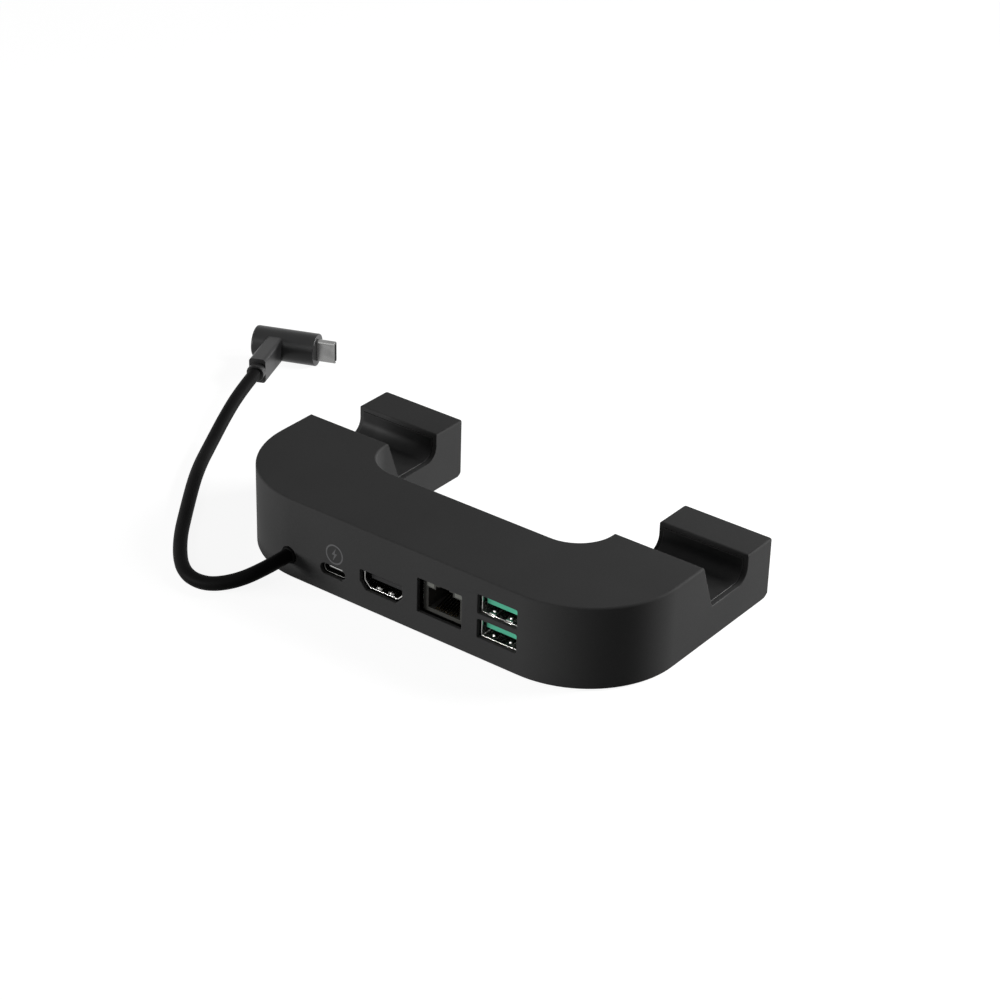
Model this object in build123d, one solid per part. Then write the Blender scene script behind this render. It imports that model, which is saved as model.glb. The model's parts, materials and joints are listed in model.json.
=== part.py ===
from build123d import *
from math import pi, radians, sin, tan
import os

# Dock for a handheld console: a U-shaped housing with two cradle arms and a row of ports.
# Millimetres, Z up. The floor is Z = 0, the ports face -Y, X = 0 is the middle of the dock.

# Housing
dock_width = 150.0
dock_depth = 84.0
housing_height = 27.05
foot_proud = 0.4
wall = 2.2
arm_width = 31.8
bar_depth = 32.0
port_face_half = 43.0
front_corner_radius = dock_width / 2 - port_face_half
inner_corner_radius = 13.0
rear_corner_radius = 0.9
top_edge_radius = 0.7
tail_edge_radius = 3.0
tail_wall = 4.4

# Cradle channel across each arm, heights from the housing's bottom edge
channel_front_setback = 38.0
channel_back_setback = 13.6
channel_front = dock_depth - channel_front_setback
channel_back = dock_depth - channel_back_setback
channel_floor = 11.4
channel_lean = 20.6
channel_fillet = 4.6
lip_height = 20.25
pad_sink = 0.9
pad_proud = 0.4
pad_side_margin = 1.6
pad_front_top = 23.4
pad_back_top = 18.7
pad_gap = 0.05

# Ribs under the top and under the cradles
rib_thickness = 1.3
top_rib_share = 0.5
top_rib_places = [9.0, 21.0]
cross_rib_places = [-42.0, -14.0, 14.0, 42.0]
cradle_rib_insets = [23.5, 8.5]
cradle_rib_places = [dock_width / 2 - inset for inset in cradle_rib_insets]
cradle_rib_rise = 0.6

# Base plate, its screws and feet
plate_thickness = 2.0
plate_gap = 0.2
turret_radius = 4.2
turret_height = 1.4
boss_radius = 3.2
corner_screw_inset = 5.8
corner_screw_reach = (front_corner_radius - corner_screw_inset) * sin(radians(45))
middle_screw_inset = 23.0
middle_screw_gap = 5.5
rear_screw_inset = 16.0
rear_screw_setback = 9.6
base_screw_places = [
    (port_face_half + corner_screw_reach, front_corner_radius - corner_screw_reach),
    (dock_width / 2 - middle_screw_inset, channel_front - middle_screw_gap),
    (dock_width / 2 - rear_screw_inset, dock_depth - rear_screw_setback),
]
base_screw_radius = 1.25
base_screw_length = 9.5
base_head_radius = 2.3
base_head_height = 1.25
head_cover = 0.7
head_gap = 0.3
base_drive = (2.7, 0.8, 0.7)
pilot_gap = 0.05
pilot_spare = 1.0
foot_length = 20.0
foot_width = 8.0
foot_pocket = 0.6
front_foot_reach = 3.0
front_foot_setback = 10.0
foot_places = [(port_face_half + front_foot_reach, front_foot_setback), base_screw_places[-1]]
foot_edge = 0.3

# Circuit board
board_top = 7.0
board_thickness = 1.6
board_left = -54.0
board_right = 52.0
board_front = 3.5
board_back = 28.5
board_wall_gap = 1.0
notch_right = -38.5
notch_back = 20.8
board_screw_places = [(-34.7, 7.4), (48.0, 9.0), (-51.4, 25.6), (49.8, 25.6)]
board_screw_radius = 0.8
board_screw_length = 4.6
board_head_radius = 1.8
board_head_height = 1.2
board_drive = (2.1, 0.6, 0.6)
standoff_radius = 2.5
board_hole_gap = 0.3

# Ports, seen from the front: distances from the middle and how far each face is set back
port_wall = 1.2
port_pocket_left = -34.0
port_pocket_right = 44.5
port_pocket_low = 5.0
port_pocket_high = housing_height - 4.05
port_setback = 1.3
port_corner = 0.5
sheet = 0.35

usb_c_place = -26.8
usb_c_width = 8.95
usb_c_height = 3.25
usb_c_length = 7.6
usb_c_sink = 0.55
usb_c_rim = 0.3
usb_c_back = 1.6
usb_c_tongue_width = 6.7
usb_c_tongue_thickness = 0.7
usb_c_tongue_setback = 0.7

hdmi_place = -8.1
hdmi_width = 15.0
hdmi_height = 5.6
hdmi_length = 11.5
hdmi_bottom_width = 10.8
hdmi_side_height = 3.5
hdmi_rim = 0.5
hdmi_back = 3.2
hdmi_tongue_width = 11.6
hdmi_tongue_thickness = 1.3
hdmi_tongue_rise = 2.6
hdmi_tongue_setback = 1.6
hdmi_contact_count = 9
hdmi_contact_pitch = 1.0
hdmi_contact_width = 0.5

ethernet_place = 13.9
ethernet_setback = 2.4
ethernet_width = 15.9
ethernet_height = 11.5
ethernet_length = 20.6
ethernet_opening_width = 16.3
ethernet_opening_height = 11.5
ethernet_plug_width = 11.8
ethernet_plug_height = 6.8
ethernet_plug_depth = 13.0
ethernet_plug_rise = 1.3
latch_steps = [(6.3, 1.3), (3.5, 0.9)]
ethernet_contact_count = 8
ethernet_contact_pitch = 1.02
ethernet_contact_width = 0.45
ethernet_contact_thickness = 0.4
ethernet_contact_climb = 3.6
ethernet_contact_start = 0.5
light_width = 2.7
light_height = 1.5
light_depth = 3.0
light_side = 1.1
light_rise = 8.5

usb_a_place = 35.0
usb_a_port_width = 12.5
usb_a_port_height = 5.12
usb_a_pitch = 8.2
usb_a_length = 17.4
usb_a_port_depth = 11.0
usb_a_rim = 0.45
usb_a_top_rim = 0.8
usb_a_tongue_width = 11.1
usb_a_tongue_thickness = 1.9
usb_a_tongue_drop = 0.75
usb_a_tongue_setback = 1.3
usb_a_contact_count = 4
usb_a_contact_pitch = 2.3
usb_a_contact_width = 1.1
contact_thickness = 0.15
usb_a_spring_crest = 1.8
usb_a_spring_spacing = 6.0
hdmi_spring_crest = 1.1
hdmi_spring_spacing = 4.5
spring_width = 2.2
spring_start = 0.5
spring_length = 5.4
spring_rise = 0.45
dimple_radius = 0.5
dimple_rise = 0.35

# Parts soldered to the board
hub_controller_size = (9.0, 9.0, 0.9)
video_converter_size = (8.0, 8.0, 0.9)
network_controller_size = (6.0, 6.0, 0.9)
power_controller_size = (4.0, 4.0, 0.8)
network_transformer_size = (4.8, 12.7, 4.6)
inductor_size = (6.6, 6.6, 3.0)
crystal_size = (3.2, 2.5, 0.8)
capacitor_radius = 2.5
capacitor_height = 5.4
hub_controller_place = (-24.0, 19.0)
video_converter_place = (-9.0, 20.6)
network_controller_place = (35.0, 23.6)
power_controller_place = (-34.5, 17.0)
network_transformer_place = (25.0, 14.0)
inductor_places = [(48.0, 15.5), (43.9, 23.2)]
capacitor_places = [(2.6, 12.0), (2.6, 18.2), (-18.9, 10.6)]
crystal_places = [(-16.2, 24.5), (28.4, 23.6), (-16.6, 17.0)]

# Captive cord, its strain relief and the angled plug on its end
cord_place = -44.4
cord_height = 7.3
cord_diameter = 4.5
relief_proud = 0.6
relief_radius = 2.8
relief_gap = 0.1
relief_flange_radius = 4.3
relief_flange_thickness = 1.6
relief_tail_radius = 3.2
relief_tip_radius = 2.4
relief_end = 11.0
saddle_front = 5.2
saddle_thickness = 1.6
saddle_width = 9.0
lead_radius = 1.5
header_width = 8.0
header_length = 4.6
header_height = 4.4
floor_gap = 0.1

plug_arm_width = 9.0
plug_arm_thickness = 6.0
plug_arm_length = 16.0
plug_arm_edge = 1.2
plug_head_radius = 5.75
plug_head_length = 23.0
plug_head_top = 8.5
plug_head_edge = 0.8
plug_collar_radius = 3.1
plug_collar_length = 2.5
plug_tip_width = 8.34
plug_tip_thickness = 2.56
plug_tip_length = 6.6
plug_tip_rim = 0.3
plug_insert_wall = 0.55
plug_insert_setback = 0.4
plug_insert_floor = 1.2

# Places worked out from the sizes
face_y = -dock_depth / 2
base_z = foot_proud
gap_width = dock_width - 2 * arm_width
board_z = base_z + board_top
relief_z = base_z + cord_height
cord_radius = cord_diameter / 2
cord_floor = cord_radius + floor_gap
plug_z = plug_head_radius + floor_gap
turret_top = plate_thickness + turret_height
past = 5.0

# The cord leaves the face, comes down to the floor, turns back past the dock's left side
# and ends at the plug. The plug's collar is on the last point, pointing along the last run.
cord_route = [
    (cord_place, face_y - relief_proud, relief_z),
    (cord_place, -52.4, relief_z),
    (-49.2, -60.8, 5.1),
    (-58.3, -64.8, cord_floor),
    (-68.6, -63.4, cord_floor),
    (-81.6, -50.9, cord_floor),
    (-94.6, -33.4, cord_floor),
    (-108.6, -13.8, cord_floor),
    (-118.8, 4.8, cord_floor),
    (-125.0, 18.2, 4.4),
    (-130.8, 31.7, plug_z),
    (-136.2, 45.2, plug_z),
]


def from_face(distance):
    return face_y + distance


def block(width, depth, height, x, y, z):
    # A box centred on x, starting at y and standing on z
    return Pos(x, y, z) * Box(width, depth, height, align=(Align.CENTER, Align.MIN, Align.MIN))


def post(radius, height, x, y, z):
    return Pos(x, y, z) * Cylinder(radius, height, align=(Align.CENTER, Align.CENTER, Align.MIN))


def both_sides(places):
    return [(side * x, y) for x, y in places for side in (-1, 1)]


def front_profile(sketch, x, z, y, depth):
    # A sketch seen from the front, at (x, z), pushed back from y by depth
    return Pos(x, y, z) * extrude(Plane.XZ * sketch, amount=-depth)


def side_profile(sketch, width, x=0.0):
    # A sketch in (Y, Z) pushed out to both sides of x
    return Pos(x, 0, 0) * extrude(Plane.YZ * sketch, amount=width / 2, both=True)


def polygon(points):
    return make_face(Polyline(*points, close=True))


def outline(inset):
    # The U seen from above, drawn in from the outer wall by inset
    shape = Rectangle(dock_width - 2 * inset, dock_depth - 2 * inset)
    front = shape.vertices().group_by(Axis.Y)[0]
    shape = fillet(front, front_corner_radius - inset)
    gap_front = from_face(bar_depth) - inset
    gap_back = dock_depth / 2 + past
    gap = Pos(0, (gap_front + gap_back) / 2) * Rectangle(gap_width + 2 * inset, gap_back - gap_front)
    gap = fillet(gap.vertices().group_by(Axis.Y)[0], inner_corner_radius + inset)
    shape = shape - gap
    if inset < rear_corner_radius:
        shape = fillet(shape.vertices().group_by(Axis.Y)[-1], rear_corner_radius - inset)
    return shape


def prism(inset, low, high):
    return Pos(0, 0, base_z + low) * extrude(outline(inset), amount=high - low)


def channel_sketch():
    # Everything above the cradle and the lip, in (Y, Z)
    lean = tan(radians(channel_lean))
    top = base_z + housing_height + past
    front_top = from_face(channel_front) - past * lean
    front_floor = from_face(channel_front) + (housing_height - channel_floor) * lean
    back = from_face(channel_back)
    lip = base_z + lip_height
    points = [
        (front_top, top),
        (front_floor, base_z + channel_floor),
        (back, base_z + channel_floor),
        (back, lip),
        (dock_depth / 2 + past, lip),
        (dock_depth / 2 + past, top),
    ]
    shape = polygon(points)
    corner = shape.vertices().sort_by_distance((back, base_z + channel_floor))[0]
    return fillet(corner, channel_fillet)


def grown_channel(amount):
    return offset(channel_sketch(), amount=amount, kind=Kind.INTERSECTION)


def tail_round():
    # What the rounded far bottom edge takes off the arms
    back = dock_depth / 2
    centre = (back - tail_edge_radius, base_z + tail_edge_radius)
    corner = polygon([
        (centre[0], centre[1]),
        (centre[0], base_z - past),
        (back + past, base_z - past),
        (back + past, centre[1]),
    ])
    return side_profile(corner - Pos(*centre) * Circle(tail_edge_radius), dock_width + past)


def cavity():
    # The hollow inside the housing, open at the bottom
    space = prism(wall, -past, housing_height - wall)
    space = space - side_profile(grown_channel(wall + pad_sink), dock_width + past)
    return space - block(dock_width, tail_wall, housing_height + past, 0, dock_depth / 2 - tail_wall, 0)


def top_ribs():
    # They hang from the top over part of the room above the tallest port
    room = housing_height - wall - board_top - usb_a_stack_height()
    low = base_z + housing_height - wall - top_rib_share * room
    ribs = []
    for place in top_rib_places:
        ribs.append(block(dock_width, rib_thickness, past, 0, from_face(place), low))
    for place in cross_rib_places:
        ribs.append(block(rib_thickness, bar_depth, past, place, face_y, low))
    return ribs


def cradle_ribs():
    low = base_z + plate_thickness + cradle_rib_rise
    ribs = []
    for place in cradle_rib_places:
        for side in (-1, 1):
            start = from_face(channel_front)
            ribs.append(block(rib_thickness, dock_depth, housing_height, side * place, start, low))
    return ribs


def rounded_opening(width, height):
    return RectangleRounded(width, height, port_corner)


def hdmi_sketch(grow):
    # The D outline with its lower corners cut off, drawn from its own middle
    half = hdmi_width / 2 + grow
    bottom_half = hdmi_bottom_width / 2 + grow * 0.6
    top = hdmi_height / 2 + grow
    shoulder = hdmi_height / 2 - hdmi_side_height
    shape = polygon([
        (-half, top), (half, top), (half, shoulder),
        (bottom_half, -top), (-bottom_half, -top), (-half, shoulder),
    ])
    return fillet(shape.vertices(), port_corner)


def usb_c_middle():
    return board_z - usb_c_sink + usb_c_height / 2


def hdmi_middle():
    return board_z + hdmi_height / 2


def usb_a_middles():
    first = board_z + sheet + usb_a_port_height / 2
    return [first, first + usb_a_pitch]


def port_openings():
    depth = wall + past
    start = face_y - past / 2
    slot = SlotOverall(usb_c_width + 2 * usb_c_rim, usb_c_height + 2 * usb_c_rim)
    cuts = [front_profile(slot, usb_c_place, usb_c_middle(), start, depth)]
    cuts.append(front_profile(hdmi_sketch(hdmi_rim), hdmi_place, hdmi_middle(), start, depth))
    jack = rounded_opening(ethernet_opening_width, ethernet_opening_height)
    jack_middle = board_z + ethernet_opening_height / 2
    cuts.append(front_profile(jack, ethernet_place, jack_middle, start, depth))
    usb_width = usb_a_port_width + 2 * usb_a_rim + 2 * sheet
    usb = rounded_opening(usb_width, usb_a_port_height + usb_a_rim + usb_a_top_rim)
    for middle in usb_a_middles():
        middle = middle + (usb_a_top_rim - usb_a_rim) / 2
        cuts.append(front_profile(usb, usb_a_place, middle, start, depth))
    relief = Circle(relief_radius + relief_gap)
    cuts.append(front_profile(relief, cord_place, relief_z, start, depth))
    flange_seat = Circle(relief_flange_radius + relief_gap)
    cuts.append(front_profile(flange_seat, cord_place, relief_z, from_face(wall), past))
    return cuts


def port_pocket():
    # Thins the front wall behind the ports
    width = port_pocket_right - port_pocket_left
    middle = (port_pocket_right + port_pocket_left) / 2
    height = port_pocket_high - port_pocket_low
    return block(width, wall, height, middle, from_face(port_wall), base_z + port_pocket_low)


def cradle_pad_section(extra):
    # The liner's section: sunk into the channel and a little proud of it
    band = grown_channel(pad_sink) - offset(channel_sketch(), amount=-pad_proud, kind=Kind.INTERSECTION)
    lean = tan(radians(channel_lean))
    front_y = from_face(channel_front) + (housing_height - pad_front_top) * lean
    back_y = from_face(channel_back)
    keep = polygon([
        (front_y - past, base_z),
        (back_y + 2 * pad_sink, base_z),
        (back_y + 2 * pad_sink, base_z + pad_back_top + extra),
        (back_y - past, base_z + pad_back_top + extra),
        (front_y + past, base_z + pad_front_top + extra),
        (front_y - past, base_z + pad_front_top + extra),
    ])
    return band & keep


def arm_middle():
    return dock_width / 2 - arm_width / 2


def cradle_pad(side):
    width = arm_width - 2 * pad_side_margin
    return side_profile(cradle_pad_section(0), width, side * arm_middle())


def pad_recess(side):
    width = arm_width - 2 * pad_side_margin + 2 * pad_gap
    return side_profile(cradle_pad_section(pad_gap), width, side * arm_middle())


def upper_housing():
    shell = prism(0, 0, housing_height)
    shell = shell - side_profile(channel_sketch(), dock_width + past) - tail_round()
    top_edges = shell.edges().filter_by_position(Axis.Z, base_z + housing_height, base_z + housing_height)
    shell = fillet(top_edges, top_edge_radius)
    lip_edges = shell.edges().filter_by_position(Axis.Z, base_z + lip_height, base_z + lip_height)
    shell = fillet(lip_edges, top_edge_radius)
    hollow = cavity()
    shell = shell - hollow
    for rib in top_ribs() + cradle_ribs():
        shell = shell + (rib & hollow)
    for x, y in both_sides(base_screw_places):
        column = post(boss_radius, housing_height, x, from_face(y), base_z + turret_top)
        shell = shell + (column & hollow)
    for side in (-1, 1):
        shell = shell - pad_recess(side)
    for cut in port_openings():
        shell = shell - cut
    shell = shell - port_pocket()
    depth = base_screw_length - (turret_top - head_cover - base_head_height) + pilot_spare
    for x, y in both_sides(base_screw_places):
        hole = post(base_screw_radius + pilot_gap, depth, x, from_face(y), base_z + turret_top)
        shell = shell - hole
    return shell


def group(solids):
    return Compound(children=solids)


def foot_sketch(grow):
    return RectangleRounded(foot_length + 2 * grow, foot_width + 2 * grow, foot_width / 2 - 0.5 + grow)


def relief_radius_at(distance):
    start = wall + relief_flange_thickness
    share = (distance - start) / (relief_end - start)
    return relief_tail_radius + share * (relief_tip_radius - relief_tail_radius)


def cord_saddle():
    # The rib on the base plate that the strain relief's tail lies in
    start = from_face(saddle_front)
    rib = block(saddle_width, saddle_thickness, cord_height, cord_place, start, base_z)
    trough = Circle(relief_radius_at(saddle_front) + relief_gap)
    return rib - front_profile(trough, cord_place, relief_z, start - past, 2 * past)


def base_plate():
    plate = prism(wall + plate_gap, 0, plate_thickness)
    full = prism(wall + plate_gap, 0, turret_top)
    for x, y in both_sides(base_screw_places):
        plate = plate + (post(turret_radius, turret_top, x, from_face(y), base_z) & full)
    for x, y in board_screw_places:
        plate = plate + post(standoff_radius, board_top - board_thickness, x, from_face(y), base_z)
    plate = plate + cord_saddle()
    tail_start = dock_depth / 2 - tail_wall - plate_gap
    plate = plate - block(dock_width, tail_wall + plate_gap, turret_top, 0, tail_start, base_z)
    for x, y in both_sides(base_screw_places):
        plate = plate - post(base_screw_radius + head_gap, turret_top, x, from_face(y), base_z)
        cover = head_cover + base_head_height
        plate = plate - post(base_head_radius + head_gap, cover, x, from_face(y), base_z)
    for x, y in board_screw_places:
        depth = board_screw_length - board_thickness + pilot_spare / 2
        low = board_z - board_thickness - depth
        plate = plate - post(board_screw_radius + pilot_gap, depth, x, from_face(y), low)
    for x, y in both_sides(foot_places):
        pocket = extrude(foot_sketch(plate_gap), amount=foot_pocket)
        plate = plate - Pos(x, from_face(y), base_z) * pocket
    return plate


def foot(x, y):
    pad = extrude(foot_sketch(0), amount=foot_proud + foot_pocket)
    pad = fillet(pad.edges().group_by(Axis.Z)[0], foot_edge)
    return Pos(x, from_face(y), 0) * pad


def cross_recess(size, x, y, z):
    # The driver's cross, standing on z
    length, width, depth = size
    middle = Pos(x, y, z + depth / 2)
    return middle * (Box(length, width, depth) + Box(width, length, depth))


def base_screws():
    screws = []
    for x, y in both_sides(base_screw_places):
        head_z = base_z + head_cover
        head = post(base_head_radius, base_head_height, x, from_face(y), head_z)
        head = head - cross_recess(base_drive, x, from_face(y), head_z)
        shank = post(base_screw_radius, base_screw_length, x, from_face(y), head_z + base_head_height)
        screws.append(head + shank)
    return group(screws)


def board_screws():
    screws = []
    for x, y in board_screw_places:
        head = post(board_head_radius, board_head_height, x, from_face(y), board_z)
        head = fillet(head.edges().group_by(Axis.Z)[-1], board_head_height / 3)
        drive_z = board_z + board_head_height - board_drive[-1]
        head = head - cross_recess(board_drive, x, from_face(y), drive_z)
        low = board_z - board_screw_length
        screws.append(head + post(board_screw_radius, board_screw_length, x, from_face(y), low))
    return group(screws)


def circuit_board():
    low = board_top - board_thickness
    board = prism(wall + board_wall_gap, low, board_top)
    depth = board_back - board_front
    width = board_right - board_left
    middle = (board_right + board_left) / 2
    board = board & block(width, depth, housing_height, middle, from_face(board_front), base_z)
    notch_width = notch_right - board_left
    notch_middle = (notch_right + board_left) / 2
    board = board - block(notch_width, notch_back, housing_height, notch_middle, face_y, base_z)
    for x, y in board_screw_places:
        hole = post(board_screw_radius + board_hole_gap, housing_height, x, from_face(y), base_z)
        board = board - hole
    sink_depth = from_face(port_setback + usb_c_length + board_hole_gap)
    sink_width = usb_c_width + 2 * board_hole_gap
    sink = block(sink_width, sink_depth - face_y, housing_height, usb_c_place, face_y, board_z - usb_c_sink)
    return board - sink


def on_board(size, place):
    width, depth, height = size
    return block(width, depth, height, place[0], from_face(place[1]) - depth / 2, board_z)


def tube(outer, rim, length, back):
    # A port's metal shell: an outline drawn in by its sheet, closed at the back
    shell = extrude(Plane.XZ * outer, amount=-length)
    hole = extrude(Plane.XZ * offset(outer, amount=-rim, kind=Kind.INTERSECTION), amount=-(length - back))
    return shell - hole


def springs(low, crest, spacing):
    # Two leaves that rise into the port from the sheet at low, each with a dimple on its crest
    high = low + spring_rise
    profile = polygon([(spring_start, low), (crest, high), (spring_start + spring_length, low)])
    dimple = Pos(0, crest, high + dimple_rise - dimple_radius) * Sphere(dimple_radius)
    leaf = side_profile(profile, spring_width) + dimple
    return [Pos(side * spacing / 2, 0, 0) * leaf for side in (-1, 1)]


def usb_c_shell():
    shell = tube(SlotOverall(usb_c_width, usb_c_height), usb_c_rim, usb_c_length, usb_c_rim)
    return Pos(usb_c_place, from_face(port_setback), usb_c_middle()) * shell


def usb_c_insulator():
    inner = SlotOverall(usb_c_width - 2 * usb_c_rim, usb_c_height - 2 * usb_c_rim)
    start = usb_c_length - usb_c_rim - usb_c_back
    plug = extrude(Plane.XZ * inner, amount=-usb_c_back)
    return Pos(usb_c_place, from_face(port_setback + start), usb_c_middle()) * plug


def usb_c_tongue():
    start = usb_c_tongue_setback
    length = usb_c_length - usb_c_rim - usb_c_back - start
    low = usb_c_middle() - usb_c_tongue_thickness / 2
    y = from_face(port_setback + start)
    blade = block(usb_c_tongue_width, length, usb_c_tongue_thickness, usb_c_place, y, low)
    return fillet(blade.edges().filter_by(Axis.Z).group_by(Axis.Y)[0], usb_c_tongue_thickness)


def hdmi_shell():
    shell = tube(hdmi_sketch(0), sheet, hdmi_length, sheet)
    for leaf in springs(-hdmi_height / 2 + sheet, hdmi_spring_crest, hdmi_spring_spacing):
        shell = shell + leaf
    return Pos(hdmi_place, from_face(port_setback), hdmi_middle()) * shell


def hdmi_insulator():
    inner = offset(hdmi_sketch(0), amount=-sheet, kind=Kind.INTERSECTION)
    start = hdmi_length - sheet - hdmi_back
    body = Pos(0, start, 0) * extrude(Plane.XZ * inner, amount=-hdmi_back)
    low = -hdmi_height / 2 + hdmi_tongue_rise
    reach = start - hdmi_tongue_setback
    tongue = block(hdmi_tongue_width, reach, hdmi_tongue_thickness, 0, hdmi_tongue_setback, low)
    return Pos(hdmi_place, from_face(port_setback), hdmi_middle()) * (body + tongue)


def hdmi_contacts():
    low = hdmi_middle() - hdmi_height / 2 + hdmi_tongue_rise - contact_thickness
    start = hdmi_tongue_setback + hdmi_contact_width
    length = hdmi_length - sheet - hdmi_back - start
    strips = []
    for number in range(hdmi_contact_count):
        x = hdmi_place + (number - (hdmi_contact_count - 1) / 2) * hdmi_contact_pitch
        y = from_face(port_setback + start)
        strips.append(block(hdmi_contact_width, length, contact_thickness, x, y, low))
    return group(strips)


def ethernet_light(side):
    x = ethernet_place + side * (ethernet_width / 2 - sheet - light_side - light_width / 2)
    return block(light_width, light_depth, light_height, x, from_face(ethernet_setback), board_z + light_rise)


def ethernet_jack():
    width = ethernet_width - 2 * sheet
    length = ethernet_length - sheet
    height = ethernet_height - sheet
    start = from_face(ethernet_setback)
    jack = block(width, length, height, ethernet_place, start, board_z)
    low = board_z + ethernet_plug_rise
    depth = ethernet_plug_depth
    jack = jack - block(ethernet_plug_width, depth, ethernet_plug_height, ethernet_place, start, low)
    low = low + ethernet_plug_height
    for step_width, step_height in latch_steps:
        jack = jack - block(step_width, depth, step_height, ethernet_place, start, low)
        low = low + step_height
    for side in (-1, 1):
        jack = jack - ethernet_light(side)
    return jack


def ethernet_shield():
    start = from_face(ethernet_setback)
    outer = block(ethernet_width, ethernet_length, ethernet_height, ethernet_place, start, board_z)
    inner_length = ethernet_length - sheet
    inner_height = ethernet_height - sheet
    inner = block(ethernet_width - 2 * sheet, inner_length, inner_height, ethernet_place, start, board_z)
    return outer - inner


def ethernet_contacts():
    floor = board_z + ethernet_plug_rise
    start = from_face(ethernet_setback + ethernet_contact_start)
    end = from_face(ethernet_setback + ethernet_plug_depth)
    foot_end = start + 2 * ethernet_contact_thickness
    high = floor + ethernet_contact_climb
    profile = polygon([
        (start, floor), (foot_end, floor),
        (end, high - ethernet_contact_thickness), (end, high),
    ])
    wires = []
    for number in range(ethernet_contact_count):
        x = ethernet_place + (number - (ethernet_contact_count - 1) / 2) * ethernet_contact_pitch
        wires.append(side_profile(profile, ethernet_contact_width, x))
    return group(wires)


def usb_a_stack_height():
    return usb_a_port_height + usb_a_pitch + 2 * sheet


def usb_a_shell():
    width = usb_a_port_width + 2 * sheet
    height = usb_a_stack_height()
    start = from_face(port_setback)
    shell = block(width, usb_a_length, height, usb_a_place, start, board_z)
    inner_length = usb_a_length - sheet
    inner = block(usb_a_port_width, inner_length, height - 2 * sheet, usb_a_place, start, board_z + sheet)
    shell = shell - inner
    for leaf in springs(board_z + sheet, usb_a_spring_crest, usb_a_spring_spacing):
        shell = shell + Pos(usb_a_place, start, 0) * leaf
    return shell


def usb_a_divider():
    # The folded sheet between the two ports, notched in front of its springs
    low = board_z + sheet + usb_a_port_height
    height = usb_a_pitch - usb_a_port_height
    start = from_face(port_setback)
    bar = block(usb_a_port_width, usb_a_port_depth, height, usb_a_place, start, low)
    inner_height = height - 2 * sheet
    inner_low = low + sheet
    hollow = block(usb_a_port_width, usb_a_port_depth, inner_height, usb_a_place, start + sheet, inner_low)
    divider = bar - hollow
    for side in (-1, 1):
        x = usb_a_place + side * usb_a_spring_spacing / 2
        divider = divider - block(spring_width, spring_start, sheet, x, start, low + height - sheet)
    for leaf in springs(low + height, usb_a_spring_crest, usb_a_spring_spacing):
        divider = divider + Pos(usb_a_place, start, 0) * leaf
    return divider


def usb_a_tongue_low(middle):
    return middle + usb_a_port_height / 2 - usb_a_tongue_drop - usb_a_tongue_thickness


def usb_a_insulator():
    # The moulded block behind both ports, with a tongue standing out into each
    start = from_face(port_setback + usb_a_port_depth)
    depth = usb_a_length - sheet - usb_a_port_depth
    height = usb_a_stack_height() - 2 * sheet
    body = block(usb_a_port_width, depth, height, usb_a_place, start, board_z + sheet)
    length = usb_a_port_depth - usb_a_tongue_setback
    front = from_face(port_setback + usb_a_tongue_setback)
    for middle in usb_a_middles():
        low = usb_a_tongue_low(middle)
        tongue = block(usb_a_tongue_width, length, usb_a_tongue_thickness, usb_a_place, front, low)
        body = body + tongue
    return body


def usb_a_contacts():
    strips = []
    length = usb_a_port_depth - 2 * usb_a_tongue_setback
    front = from_face(port_setback + 2 * usb_a_tongue_setback)
    for middle in usb_a_middles():
        low = usb_a_tongue_low(middle) - contact_thickness
        for number in range(usb_a_contact_count):
            x = usb_a_place + (number - (usb_a_contact_count - 1) / 2) * usb_a_contact_pitch
            strips.append(block(usb_a_contact_width, length, contact_thickness, x, front, low))
    return group(strips)


def smoothing_capacitors():
    cans = []
    for x, y in capacitor_places:
        can = post(capacitor_radius, capacitor_height, x, from_face(y), board_z)
        cans.append(fillet(can.edges().group_by(Axis.Z)[-1], capacitor_radius / 6))
    return group(cans)


def cord_strain_relief():
    flange_start = wall
    tail_start = flange_start + relief_flange_thickness
    profile = polygon([
        (0, -relief_proud), (cord_radius + relief_proud / 2, -relief_proud),
        (relief_radius, 0), (relief_radius, flange_start),
        (relief_flange_radius, flange_start), (relief_flange_radius, tail_start),
        (relief_tail_radius, tail_start), (relief_tip_radius, relief_end), (0, relief_end),
    ])
    return Pos(cord_place, face_y, relief_z) * revolve(profile, Axis.Y)


def inner_lead():
    length = notch_back - relief_end
    return front_profile(Circle(lead_radius), cord_place, relief_z, from_face(relief_end), length)


def cord_header():
    return block(header_width, header_length, header_height, cord_place, from_face(notch_back), board_z)


def cord_corners():
    # The radius of each corner of the cord: 0.45 of its shorter run over the tangent of half its turn
    points = [Vector(*point) for point in cord_route]
    radii = []
    for before, corner, after in zip(points, points[1:], points[2:]):
        arriving = corner - before
        leaving = after - corner
        half_turn = radians(arriving.get_angle(leaving)) / 2
        radii.append(0.45 * min(arriving.length, leaving.length) / tan(half_turn))
    return radii


def cord():
    path = FilletPolyline(*cord_route, radius=cord_corners())
    print("cord radii", [round(radius, 1) for radius in cord_corners()])
    start = Plane(origin=path @ 0, z_dir=path % 0)
    solid = sweep(start * Circle(cord_radius), path=path, transition=Transition.RIGHT)
    print("cord length", round(path.length, 1), "volume ratio",
          round(solid.volume / (path.length * pi * cord_radius**2), 4))
    return solid


def plug_place():
    # The plug's frame: Y along the cord, X along the head, level with the floor
    before = Vector(*cord_route[-2])
    end = Vector(*cord_route[-1])
    run = Vector(end.X - before.X, end.Y - before.Y, 0)
    side = Vector(run.Y, -run.X, 0)
    return Plane(origin=end, x_dir=side, z_dir=(0, 0, 1)).location


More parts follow.
